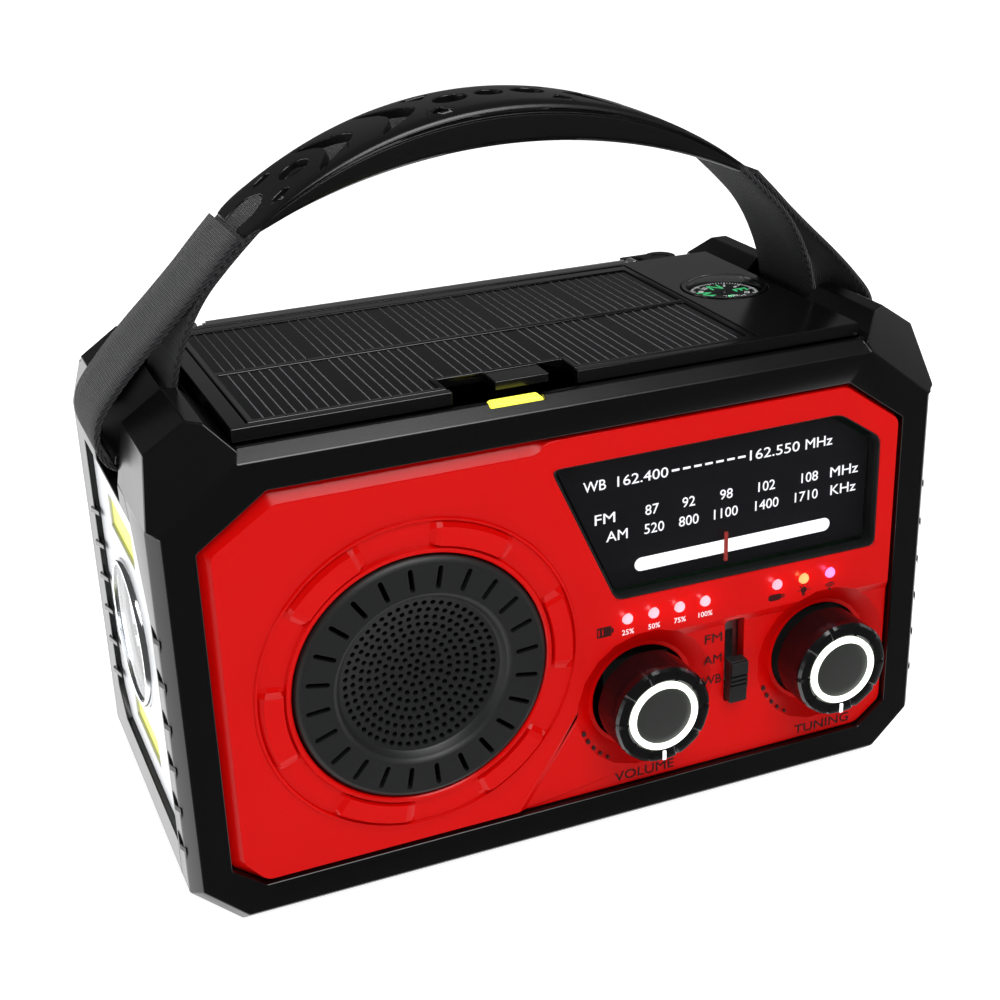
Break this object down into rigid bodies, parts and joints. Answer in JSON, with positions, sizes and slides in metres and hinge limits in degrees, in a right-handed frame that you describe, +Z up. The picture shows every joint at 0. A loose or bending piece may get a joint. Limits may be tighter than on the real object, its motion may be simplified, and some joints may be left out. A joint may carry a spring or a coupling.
{
  "type": "emergency radio",
  "caption": "Portable emergency radio with speaker, lit tuning dial, knobs, flip-up solar panel, crank, flashlight, telescopic aerial and strap handle.",
  "frame": {"origin": "on the ground under the middle of the case", "axes": "+X to the right seen from the front, +Y from front to back, +Z up"},
  "size_m": [0.1924, 0.1052, 0.1671],
  "materials": {
    "black_shell": "satin moulded black",
    "red_panel": "gloss moulded red",
    "black_matte": "fine matt black",
    "plate_black": "gloss black",
    "silver_panel": "satin silver",
    "rubber": "matt",
    "webbing": "woven",
    "solar_cell": "dark cells under clear resin",
    "clear_lens": "clear",
    "dark_window": "clear over black print",
    "lamp_yellow": "lit yellow",
    "slot_lens": "yellow-green diffuser",
    "light_white": "lit white",
    "led_pink": "lit",
    "led_status": "lit",
    "needle_red": "gloss",
    "chrome": "polished",
    "steel": "plain",
    "reflector": "bright",
    "board_green": "solder mask",
    "cell_blue": "shrink sleeve",
    "nylon_white": "plain",
    "ferrite": "plain"
  },
  "bodies": {
    "casing": {"front_frame": "black_shell", "rear_housing": "black_shell", "case_screws": "steel", "rubber_feet": "rubber", "battery_door": "black_matte", "top_plate": "plate_black", "solar_hinge_pin": "steel", "compass_capsule": "clear_lens", "reading_lamp": "lamp_yellow", "front_panel": "red_panel", "display_window": "dark_window", "dial_plate": "black_matte", "dial_backlight": "light_white", "battery_leds": "led_pink", "status_leds": "led_status", "speaker_grille": "black_matte", "speaker_driver": "steel", "volume_pot": "steel", "tuning_capacitor": "nylon_white", "band_switch": "steel", "side_panel_left": "silver_panel", "flashlight_lens": "clear_lens", "flashlight_reflector": "reflector", "side_light_lenses": "slot_lens", "led_boards": "board_green", "side_panel_right": "silver_panel", "usb_ports": "steel", "strap_left": "webbing", "strap_right": "webbing", "main_board": "board_green", "battery_pack": "cell_blue", "ferrite_antenna": "ferrite", "dynamo_housing": "black_matte", "antenna_mount": "black_matte"},
    "solar_module": {"solar_frame": "plate_black", "solar_cells": "solar_cell"},
    "compass_needle": {"compass_card": "black_matte"},
    "volume": {"volume_knob": "black_shell", "volume_light_ring": "light_white", "volume_spindle": "steel"},
    "tuning": {"tuning_knob": "black_shell", "tuning_light_ring": "light_white", "tuning_spindle": "steel"},
    "pointer": {"dial_needle": "needle_red"},
    "band": {"band_slider": "black_matte"},
    "light_key": {"light_button": "black_matte"},
    "alarm_key": {"alarm_button": "red_panel"},
    "port_flap": {"port_cover": "rubber"},
    "handle": {"handle_grip": "black_shell"},
    "crank": {"crank_gear": "nylon_white", "crank_arm": "black_shell"},
    "crank_post": {"crank_knob_post": "steel"},
    "crank_grip": {"crank_knob": "black_shell"},
    "rotor": {"dynamo_rotor": "steel"},
    "aerial_swivel": {"antenna_base": "black_matte"},
    "aerial_lower": {"antenna_tube_1": "chrome"},
    "aerial_middle": {"antenna_tube_2": "chrome"},
    "aerial_upper": {"antenna_tube_3": "chrome"},
    "aerial_tip": {"antenna_tip": "chrome"}
  },
  "joints": [
    {"name": "solar_tilt", "type": "hinge", "parent": "casing", "child": "solar_module", "pos_m": [0, 0.0284, 0.1132], "axis": [-1, 0, 0], "range_deg": [0, 25]},
    {"name": "compass_turn", "type": "hinge", "parent": "casing", "child": "compass_needle", "pos_m": [0.061, 0.001, 0.1126], "axis": [0, 0, 1], "continuous": true},
    {"name": "volume_turn", "type": "hinge", "parent": "casing", "child": "volume", "pos_m": [0.0171, -0.044, 0.033], "axis": [0, 1, 0], "range_deg": [0, 300]},
    {"name": "tuning_turn", "type": "hinge", "parent": "casing", "child": "tuning", "pos_m": [0.065, -0.044, 0.0332], "axis": [0, 1, 0], "range_deg": [-240, 280]},
    {"name": "needle_travel", "type": "slide", "parent": "casing", "child": "pointer", "axis": [1, 0, 0], "range_m": [-0.019, 0.0222]},
    {"name": "band_slide", "type": "slide", "parent": "casing", "child": "band", "axis": [0, 0, 1], "range_m": [0, 0.009]},
    {"name": "light_press", "type": "slide", "parent": "casing", "child": "light_key", "axis": [-1, 0, 0], "range_m": [0, 0.001], "stiffness_N_per_m": 250},
    {"name": "alarm_press", "type": "slide", "parent": "casing", "child": "alarm_key", "axis": [-1, 0, 0], "range_m": [0, 0.001], "stiffness_N_per_m": 250},
    {"name": "port_flap_open", "type": "hinge", "parent": "casing", "child": "port_flap", "pos_m": [0.0904, 0, 0.0315], "axis": [0, 1, 0], "range_deg": [0, 95]},
    {"name": "handle_fold", "type": "hinge", "parent": "casing", "child": "handle", "pos_m": [0, 0, 0.1166], "axis": [-1, 0, 0], "range_deg": [-60, 40], "deforming": ["strap_left", "strap_right"]},
    {"name": "crank_spin", "type": "hinge", "parent": "casing", "child": "crank", "pos_m": [0, 0.036, 0.056], "axis": [0, 1, 0], "continuous": true},
    {"name": "rotor_spin", "type": "hinge", "parent": "casing", "child": "rotor", "pos_m": [0.025, 0.02, 0.056], "axis": [0, 1, 0], "continuous": true},
    {"name": "crank_post_fold", "type": "hinge", "parent": "crank", "child": "crank_post", "pos_m": [0.034, 0.0402, 0.056], "axis": [0, 0, 1], "range_deg": [0, 90]},
    {"name": "crank_grip_spin", "type": "hinge", "parent": "crank_post", "child": "crank_grip", "pos_m": [0.034, 0.048, 0.056], "axis": [0, 1, 0], "continuous": true},
    {"name": "antenna_swivel", "type": "hinge", "parent": "casing", "child": "aerial_swivel", "pos_m": [0.062, 0.0365, 0.112], "axis": [0, 0, 1], "range_deg": [-100, 0]},
    {"name": "antenna_lift", "type": "hinge", "parent": "aerial_swivel", "child": "aerial_lower", "pos_m": [0.054, 0.0365, 0.112], "axis": [0, 1, 0], "range_deg": [0, 90]},
    {"name": "antenna_extend_1", "type": "slide", "parent": "aerial_lower", "child": "aerial_middle", "axis": [-1, 0, 0], "range_m": [0, 0.095]},
    {"name": "antenna_extend_2", "type": "slide", "parent": "aerial_middle", "child": "aerial_upper", "axis": [-1, 0, 0], "range_m": [0, 0.095]},
    {"name": "antenna_extend_3", "type": "slide", "parent": "aerial_upper", "child": "aerial_tip", "axis": [-1, 0, 0], "range_m": [0, 0.093]}
  ],
  "couplings": [
    {"joint": "needle_travel", "follows": "tuning_turn", "m_per_rad": 0.0045},
    {"joint": "rotor_spin", "follows": "crank_spin", "ratio": -4}
  ]
}
